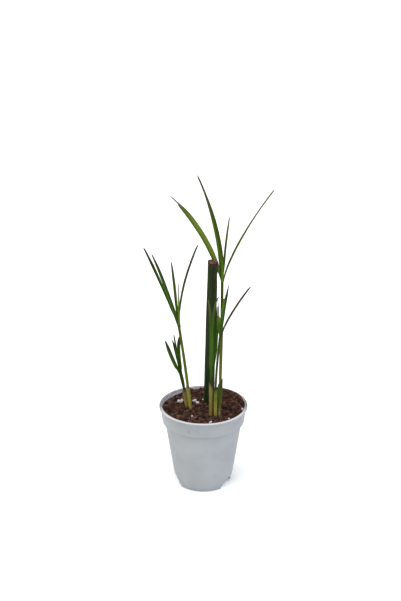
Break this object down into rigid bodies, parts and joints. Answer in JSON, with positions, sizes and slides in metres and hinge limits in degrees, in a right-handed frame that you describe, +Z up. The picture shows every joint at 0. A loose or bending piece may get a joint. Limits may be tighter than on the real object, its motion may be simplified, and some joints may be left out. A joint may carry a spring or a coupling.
{
  "type": "potted umbrella sedge",
  "caption": "Young umbrella sedge with slender stems, whorls of long narrow leaves and a thick cut-off stem, growing in a round tapered nursery pot.",
  "frame": {"origin": "middle of the pot's flat base, on the surface that it stands on", "axes": "+Z up through the pot, +X to the plant's right and +Y towards its back"},
  "size_m": [0.1125, 0.08, 0.2952],
  "materials": {
    "pot_plastic": "pale grey moulded plastic, matte",
    "coir_mix": "moist brown coir fibre and chips",
    "perlite": "white expanded grains, rough",
    "old_stem_skin": "very dark green ribbed skin with a dry brown cut",
    "young_stem_skin": "olive green, waxy",
    "sheath_skin": "yellow-green, dry and brown at its mouth",
    "leaf_blade": "fresh green with fine veins, waxy"
  },
  "bodies": {
    "root": {"front_bract_inner": "leaf_blade", "front_bract_left": "leaf_blade", "front_bract_right": "leaf_blade", "front_sheath": "sheath_skin", "front_stem": "young_stem_skin", "left_bract_inner": "leaf_blade", "left_bract_outer": "leaf_blade", "left_bract_pale": "leaf_blade", "left_bract_right": "leaf_blade", "left_bract_upright": "leaf_blade", "left_sheath": "sheath_skin", "left_stem": "young_stem_skin", "middle_bract_blunt": "leaf_blade", "middle_bract_broad": "leaf_blade", "middle_bract_grey": "leaf_blade", "middle_bract_right": "leaf_blade", "middle_bract_upright": "leaf_blade", "middle_sheath": "sheath_skin", "middle_stem": "young_stem_skin", "old_stem": "old_stem_skin", "perlite_1": "perlite", "perlite_2": "perlite", "perlite_3": "perlite", "perlite_4": "perlite", "perlite_5": "perlite", "perlite_6": "perlite", "perlite_7": "perlite", "perlite_8": "perlite", "perlite_9": "perlite", "pot": "pot_plastic", "potting_mix": "coir_mix", "short_bract_inner": "leaf_blade", "short_bract_outer": "leaf_blade", "short_bract_right": "leaf_blade", "short_bract_upright": "leaf_blade", "short_sheath": "sheath_skin", "short_stem": "young_stem_skin", "tall_bract_left": "leaf_blade", "tall_bract_right": "leaf_blade", "tall_bract_thin": "leaf_blade", "tall_bract_upright": "leaf_blade", "tall_sheath": "sheath_skin", "tall_stem": "young_stem_skin"}
  },
  "joints": []
}
